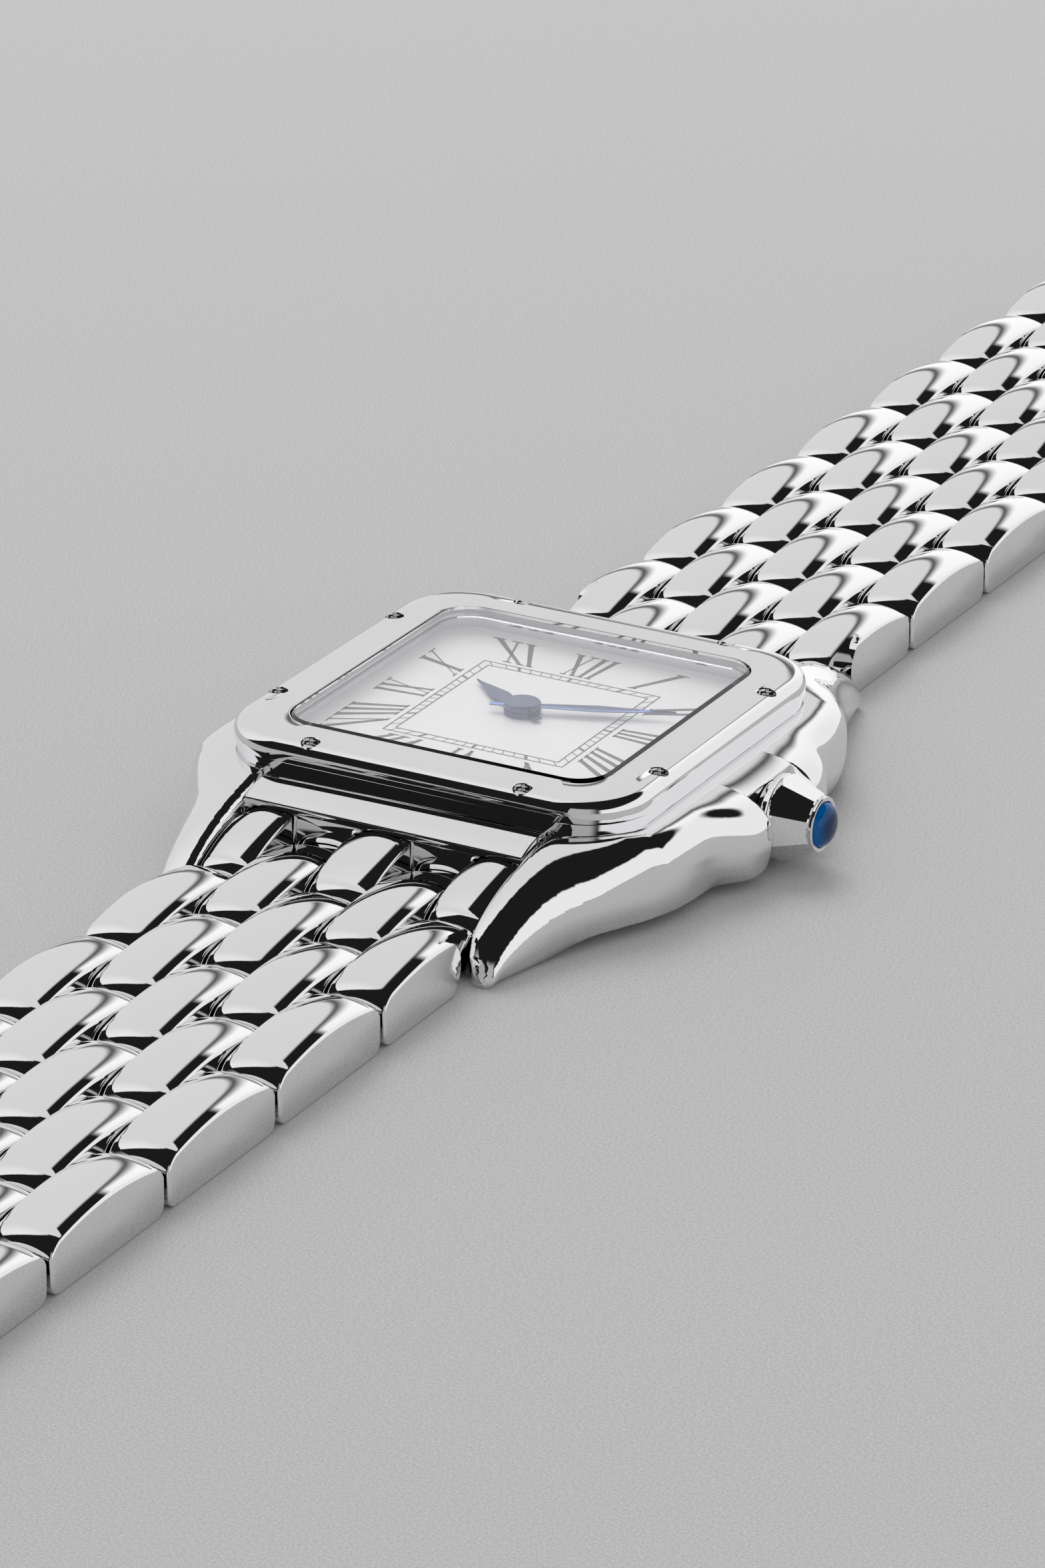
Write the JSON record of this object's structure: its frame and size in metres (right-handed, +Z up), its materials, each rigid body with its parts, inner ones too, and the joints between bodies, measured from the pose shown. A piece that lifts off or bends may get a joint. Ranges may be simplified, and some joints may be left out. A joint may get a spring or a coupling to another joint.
{
  "type": "square wristwatch",
  "caption": "Slim square wristwatch with rounded bezel, white dial and faceted crown, on a brick-pattern link bracelet lying open and flat.",
  "frame": {"origin": "under the middle of the case back, on the table that the watch lies on", "axes": "+X towards the crown, +Y towards the twelve, +Z up out of the dial"},
  "size_m": [0.0283, 0.1648, 0.0057],
  "materials": {
    "polished_steel": "mirror polished steel",
    "clasp_steel": "fine brushed steel",
    "screw_steel": "polished steel",
    "sapphire": "clear polished sapphire",
    "blue_stone": "polished blue cabochon",
    "dial_white": "satin opaline white",
    "blued_steel": "blued steel",
    "gilt_brass": "gilt brass",
    "gasket": "smooth black seal",
    "copper": "enamelled copper wire",
    "cell": "pressed steel cell",
    "board_green": "green board"
  },
  "bodies": {
    "case": {"case_middle": "polished_steel", "bezel": "polished_steel", "bezel_screws": "screw_steel", "crystal": "sapphire", "crystal_gasket": "gasket", "dial": "dial_white", "stator": "screw_steel", "coil": "copper", "battery": "cell", "circuit_board": "board_green", "main_plate": "gilt_brass", "train_bridge": "gilt_brass", "crown_tube": "screw_steel", "case_back": "polished_steel", "case_back_gasket": "gasket", "case_back_screws": "screw_steel", "six_end_links": "polished_steel", "twelve_end_links": "polished_steel", "lug_pins": "screw_steel"},
    "minute_arbor": {"minute_hand": "blued_steel", "cannon_pinion": "gilt_brass"},
    "hour_arbor": {"hour_hand": "blued_steel", "hour_wheel": "gilt_brass"},
    "minute_wheel": {"minute_wheel": "gilt_brass"},
    "third_wheel": {"third_wheel": "gilt_brass"},
    "rotor": {"rotor": "screw_steel"},
    "setting_lever": {"setting_lever": "screw_steel"},
    "crown_assembly": {"crown": "polished_steel", "crown_stone": "blue_stone", "crown_stem": "screw_steel"},
    "six_row_01": {"six_row_01": "polished_steel"},
    "six_row_02": {"six_row_02": "polished_steel"},
    "six_row_03": {"six_row_03": "polished_steel"},
    "six_row_04": {"six_row_04": "polished_steel"},
    "six_row_05": {"six_row_05": "polished_steel"},
    "six_row_06": {"six_row_06": "polished_steel"},
    "six_row_07": {"six_row_07": "polished_steel"},
    "six_row_08": {"six_row_08": "polished_steel"},
    "six_row_09": {"six_row_09": "polished_steel"},
    "six_row_10": {"six_row_10": "polished_steel"},
    "six_row_11": {"six_row_11": "polished_steel"},
    "six_row_12": {"six_row_12": "polished_steel"},
    "twelve_row_01": {"twelve_row_01": "polished_steel"},
    "twelve_row_02": {"twelve_row_02": "polished_steel"},
    "twelve_row_03": {"twelve_row_03": "polished_steel"},
    "twelve_row_04": {"twelve_row_04": "polished_steel"},
    "twelve_row_05": {"twelve_row_05": "polished_steel"},
    "twelve_row_06": {"twelve_row_06": "polished_steel"},
    "twelve_row_07": {"twelve_row_07": "polished_steel"},
    "twelve_row_08": {"twelve_row_08": "polished_steel"},
    "twelve_row_09": {"twelve_row_09": "polished_steel"},
    "twelve_row_10": {"twelve_row_10": "polished_steel"},
    "twelve_row_11": {"twelve_row_11": "polished_steel"},
    "twelve_row_12": {"twelve_row_12": "polished_steel"},
    "twelve_row_13": {"twelve_row_13": "polished_steel"},
    "twelve_row_14": {"twelve_row_14": "polished_steel"},
    "clasp_catch": {"clasp_catch": "clasp_steel"},
    "clasp_outer_blade": {"clasp_outer_blade": "clasp_steel"},
    "clasp_inner_blade": {"clasp_inner_blade": "clasp_steel"}
  },
  "joints": [
    {"name": "minute_turn", "type": "hinge", "parent": "case", "child": "minute_arbor", "pos_m": [0, 0, 0.0035], "axis": [0, 0, 1], "continuous": true},
    {"name": "hour_turn", "type": "hinge", "parent": "case", "child": "hour_arbor", "pos_m": [0, 0, 0.0035], "axis": [0, 0, 1], "continuous": true},
    {"name": "minute_wheel_turn", "type": "hinge", "parent": "case", "child": "minute_wheel", "pos_m": [-0.00226, -0.00082, 0.0031], "axis": [0, 0, 1], "continuous": true},
    {"name": "third_wheel_turn", "type": "hinge", "parent": "case", "child": "third_wheel", "pos_m": [0.00087, 0.00325, 0.0015], "axis": [0, 0, 1], "continuous": true},
    {"name": "rotor_turn", "type": "hinge", "parent": "case", "child": "rotor", "pos_m": [-0.00194, 0.00487, 0.0015], "axis": [0, 0, 1], "continuous": true},
    {"name": "crown_pull", "type": "slide", "parent": "case", "child": "setting_lever", "axis": [1, 0, 0], "range_m": [0, 0.0008]},
    {"name": "crown_turn", "type": "hinge", "parent": "setting_lever", "child": "crown_assembly", "pos_m": [0.012, 0, 0.0023], "axis": [1, 0, 0], "continuous": true},
    {"name": "six_row_01_hinge", "type": "hinge", "parent": "case", "child": "six_row_01", "pos_m": [0, -0.01511, 0.00125], "axis": [1, 0, 0], "range_deg": [-5, 12]},
    {"name": "six_row_02_hinge", "type": "hinge", "parent": "six_row_01", "child": "six_row_02", "pos_m": [0, -0.01944, 0.00125], "axis": [1, 0, 0], "range_deg": [-5, 12]},
    {"name": "six_row_03_hinge", "type": "hinge", "parent": "six_row_02", "child": "six_row_03", "pos_m": [0, -0.02377, 0.00125], "axis": [1, 0, 0], "range_deg": [-5, 12]},
    {"name": "six_row_04_hinge", "type": "hinge", "parent": "six_row_03", "child": "six_row_04", "pos_m": [0, -0.02809, 0.00125], "axis": [1, 0, 0], "range_deg": [-5, 12]},
    {"name": "six_row_05_hinge", "type": "hinge", "parent": "six_row_04", "child": "six_row_05", "pos_m": [0, -0.03243, 0.00125], "axis": [1, 0, 0], "range_deg": [-5, 12]},
    {"name": "six_row_06_hinge", "type": "hinge", "parent": "six_row_05", "child": "six_row_06", "pos_m": [0, -0.03676, 0.00125], "axis": [1, 0, 0], "range_deg": [-5, 12]},
    {"name": "six_row_07_hinge", "type": "hinge", "parent": "six_row_06", "child": "six_row_07", "pos_m": [0, -0.04109, 0.00125], "axis": [1, 0, 0], "range_deg": [-5, 12]},
    {"name": "six_row_08_hinge", "type": "hinge", "parent": "six_row_07", "child": "six_row_08", "pos_m": [0, -0.04541, 0.00125], "axis": [1, 0, 0], "range_deg": [-5, 12]},
    {"name": "six_row_09_hinge", "type": "hinge", "parent": "six_row_08", "child": "six_row_09", "pos_m": [0, -0.04974, 0.00125], "axis": [1, 0, 0], "range_deg": [-5, 12]},
    {"name": "six_row_10_hinge", "type": "hinge", "parent": "six_row_09", "child": "six_row_10", "pos_m": [0, -0.05407, 0.00125], "axis": [1, 0, 0], "range_deg": [-5, 12]},
    {"name": "six_row_11_hinge", "type": "hinge", "parent": "six_row_10", "child": "six_row_11", "pos_m": [0, -0.0584, 0.00125], "axis": [1, 0, 0], "range_deg": [-5, 12]},
    {"name": "six_row_12_hinge", "type": "hinge", "parent": "six_row_11", "child": "six_row_12", "pos_m": [0, -0.06273, 0.00125], "axis": [1, 0, 0], "range_deg": [-5, 12]},
    {"name": "twelve_row_01_hinge", "type": "hinge", "parent": "case", "child": "twelve_row_01", "pos_m": [0, 0.01511, 0.00125], "axis": [-1, 0, 0], "range_deg": [-5, 12]},
    {"name": "twelve_row_02_hinge", "type": "hinge", "parent": "twelve_row_01", "child": "twelve_row_02", "pos_m": [0, 0.01944, 0.00125], "axis": [-1, 0, 0], "range_deg": [-5, 12]},
    {"name": "twelve_row_03_hinge", "type": "hinge", "parent": "twelve_row_02", "child": "twelve_row_03", "pos_m": [0, 0.02377, 0.00125], "axis": [-1, 0, 0], "range_deg": [-5, 12]},
    {"name": "twelve_row_04_hinge", "type": "hinge", "parent": "twelve_row_03", "child": "twelve_row_04", "pos_m": [0, 0.02809, 0.00125], "axis": [-1, 0, 0], "range_deg": [-5, 12]},
    {"name": "twelve_row_05_hinge", "type": "hinge", "parent": "twelve_row_04", "child": "twelve_row_05", "pos_m": [0, 0.03243, 0.00125], "axis": [-1, 0, 0], "range_deg": [-5, 12]},
    {"name": "twelve_row_06_hinge", "type": "hinge", "parent": "twelve_row_05", "child": "twelve_row_06", "pos_m": [0, 0.03676, 0.00125], "axis": [-1, 0, 0], "range_deg": [-5, 12]},
    {"name": "twelve_row_07_hinge", "type": "hinge", "parent": "twelve_row_06", "child": "twelve_row_07", "pos_m": [0, 0.04109, 0.00125], "axis": [-1, 0, 0], "range_deg": [-5, 12]},
    {"name": "twelve_row_08_hinge", "type": "hinge", "parent": "twelve_row_07", "child": "twelve_row_08", "pos_m": [0, 0.04541, 0.00125], "axis": [-1, 0, 0], "range_deg": [-5, 12]},
    {"name": "twelve_row_09_hinge", "type": "hinge", "parent": "twelve_row_08", "child": "twelve_row_09", "pos_m": [0, 0.04974, 0.00125], "axis": [-1, 0, 0], "range_deg": [-5, 12]},
    {"name": "twelve_row_10_hinge", "type": "hinge", "parent": "twelve_row_09", "child": "twelve_row_10", "pos_m": [0, 0.05407, 0.00125], "axis": [-1, 0, 0], "range_deg": [-5, 12]},
    {"name": "twelve_row_11_hinge", "type": "hinge", "parent": "twelve_row_10", "child": "twelve_row_11", "pos_m": [0, 0.0584, 0.00125], "axis": [-1, 0, 0], "range_deg": [-5, 12]},
    {"name": "twelve_row_12_hinge", "type": "hinge", "parent": "twelve_row_11", "child": "twelve_row_12", "pos_m": [0, 0.06273, 0.00125], "axis": [-1, 0, 0], "range_deg": [-5, 12]},
    {"name": "twelve_row_13_hinge", "type": "hinge", "parent": "twelve_row_12", "child": "twelve_row_13", "pos_m": [0, 0.06706, 0.00125], "axis": [-1, 0, 0], "range_deg": [-5, 12]},
    {"name": "twelve_row_14_hinge", "type": "hinge", "parent": "twelve_row_13", "child": "twelve_row_14", "pos_m": [0, 0.0714, 0.00125], "axis": [-1, 0, 0], "range_deg": [-5, 12]},
    {"name": "clasp_catch_hinge", "type": "hinge", "parent": "six_row_12", "child": "clasp_catch", "pos_m": [0, -0.06706, 0.00125], "axis": [1, 0, 0], "range_deg": [-10, 30]},
    {"name": "clasp_outer_hinge", "type": "hinge", "parent": "twelve_row_14", "child": "clasp_outer_blade", "pos_m": [0, 0.07573, 0.00125], "axis": [-1, 0, 0], "range_deg": [-10, 20]},
    {"name": "clasp_inner_hinge", "type": "hinge", "parent": "clasp_outer_blade", "child": "clasp_inner_blade", "pos_m": [0, 0.09073, 0.00125], "axis": [-1, 0, 0], "range_deg": [0, 170]}
  ],
  "couplings": [
    {"joint": "hour_turn", "follows": "minute_turn", "ratio": 0.083333},
    {"joint": "minute_wheel_turn", "follows": "minute_turn", "ratio": -0.33333},
    {"joint": "third_wheel_turn", "follows": "minute_turn", "ratio": -6},
    {"joint": "rotor_turn", "follows": "minute_turn", "ratio": 48}
  ]
}
